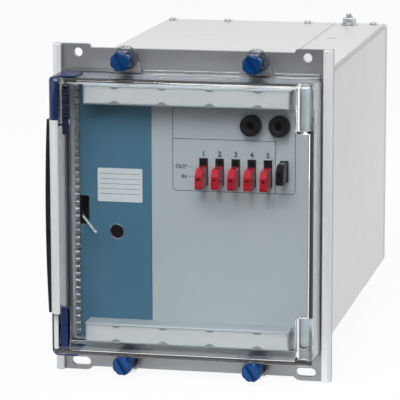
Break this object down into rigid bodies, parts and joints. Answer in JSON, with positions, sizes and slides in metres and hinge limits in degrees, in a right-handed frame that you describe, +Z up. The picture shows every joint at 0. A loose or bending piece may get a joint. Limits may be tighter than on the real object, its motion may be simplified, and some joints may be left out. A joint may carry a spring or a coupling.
{
  "type": "protection relay",
  "caption": "Panel-mounted protection relay: deep sheet-steel case, mounting frame, blue and grey fascia with pull-out setting links, and a clear moulded cover held by thumbscrews.",
  "frame": {"origin": "middle of the panel cut-out, in the plane of the frame's rear face that seats on the panel", "axes": "+X to the viewer's right, +Y into the panel towards the terminals, +Z up"},
  "size_m": [0.15, 0.2841, 0.177],
  "materials": {
    "frame_grey": "satin cast",
    "case_white": "satin paint",
    "plated_steel": "plated",
    "black_moulding": "moulded",
    "brass": "turned",
    "fascia_blue": "satin print",
    "fascia_grey": "satin print",
    "handle_grey": "moulded",
    "label_white": "plain card insert",
    "plate_silver": "satin",
    "lens_red": "polished",
    "board_green": "lacquered",
    "core_steel": "varnished laminations",
    "winding": "varnished",
    "relay_can": "drawn can",
    "resistor_green": "cement coated",
    "lever_steel": "bright wire",
    "link_red": "moulded",
    "link_black": "moulded",
    "cover_clear": "clear moulding",
    "seal_black": "extruded",
    "clip_navy": "moulded",
    "grip_dark": "moulded",
    "grip_white": "moulded",
    "knob_blue": "moulded"
  },
  "bodies": {
    "case": {"mounting_frame": "frame_grey", "side_trim_left": "case_white", "side_trim_right": "case_white", "case_shell": "case_white", "side_cover": "case_white", "rear_pan": "case_white", "guide_rails": "plated_steel", "case_screws": "plated_steel", "terminal_block_left": "black_moulding", "terminal_block_right": "black_moulding", "terminal_screws": "plated_steel", "earth_stud": "plated_steel", "earth_washer": "plated_steel", "earth_nut": "plated_steel", "front_plate": "frame_grey", "fascia_blue": "fascia_blue", "fascia_grey": "fascia_grey", "edge_strip": "plated_steel", "top_handle": "handle_grey", "bottom_handle": "handle_grey", "top_label_strip": "label_white", "bottom_label_strip": "label_white", "rating_plate": "plate_silver", "indicator_lens": "lens_red", "indicator_holder": "black_moulding", "test_socket_left": "black_moulding", "test_socket_right": "black_moulding", "socket_contacts": "brass", "link_sockets": "black_moulding", "test_link_socket": "black_moulding", "chassis_tray": "plated_steel", "circuit_board": "board_green", "transformer_core": "core_steel", "transformer_winding": "winding", "polarised_relay": "relay_can", "padding_resistors": "resistor_green", "lever_bracket": "plated_steel", "lever_pin": "plated_steel"},
    "cover": {"clear_cover": "cover_clear", "cover_seal": "seal_black", "cover_grip": "grip_dark", "grip_bar": "grip_white", "corner_clips": "clip_navy"},
    "lever": {"reset_lever": "lever_steel"},
    "link_body_1": {"link_1": "link_red", "link_pins_1": "brass"},
    "link_body_2": {"link_2": "link_red", "link_pins_2": "brass"},
    "link_body_3": {"link_3": "link_red", "link_pins_3": "brass"},
    "link_body_4": {"link_4": "link_red", "link_pins_4": "brass"},
    "link_body_5": {"link_5": "link_red", "link_pins_5": "brass"},
    "test_link_body": {"test_link": "link_black", "test_link_pins": "brass"},
    "thumb_1": {"thumbscrew_1": "knob_blue"},
    "thumb_2": {"thumbscrew_2": "knob_blue"},
    "thumb_3": {"thumbscrew_3": "knob_blue"},
    "thumb_4": {"thumbscrew_4": "knob_blue"}
  },
  "joints": [
    {"name": "cover_lift", "type": "slide", "parent": "case", "child": "cover", "axis": [0, -1, 0], "range_m": [0, 0.06]},
    {"name": "thumb_turn_1", "type": "hinge", "parent": "cover", "child": "thumb_1", "pos_m": [-0.035, -0.008, 0.0815], "axis": [0, -1, 0], "continuous": true},
    {"name": "thumb_turn_2", "type": "hinge", "parent": "cover", "child": "thumb_2", "pos_m": [0.035, -0.008, 0.0815], "axis": [0, -1, 0], "continuous": true},
    {"name": "thumb_turn_3", "type": "hinge", "parent": "cover", "child": "thumb_3", "pos_m": [-0.035, -0.008, -0.0815], "axis": [0, -1, 0], "continuous": true},
    {"name": "thumb_turn_4", "type": "hinge", "parent": "cover", "child": "thumb_4", "pos_m": [0.035, -0.008, -0.0815], "axis": [0, -1, 0], "continuous": true},
    {"name": "link_pull_1", "type": "slide", "parent": "case", "child": "link_body_1", "axis": [0, -1, 0], "range_m": [0, 0.0065]},
    {"name": "link_pull_2", "type": "slide", "parent": "case", "child": "link_body_2", "axis": [0, -1, 0], "range_m": [0, 0.0065]},
    {"name": "link_pull_3", "type": "slide", "parent": "case", "child": "link_body_3", "axis": [0, -1, 0], "range_m": [0, 0.0065]},
    {"name": "link_pull_4", "type": "slide", "parent": "case", "child": "link_body_4", "axis": [0, -1, 0], "range_m": [0, 0.0065]},
    {"name": "link_pull_5", "type": "slide", "parent": "case", "child": "link_body_5", "axis": [0, -1, 0], "range_m": [0, 0.0065]},
    {"name": "test_link_pull", "type": "slide", "parent": "case", "child": "test_link_body", "axis": [0, -1, 0], "range_m": [0, 0.0065]},
    {"name": "lever_lift", "type": "hinge", "parent": "case", "child": "lever", "pos_m": [-0.0582, 0.012, 0.002], "axis": [-1, 0, 0], "range_deg": [0, 24]}
  ]
}
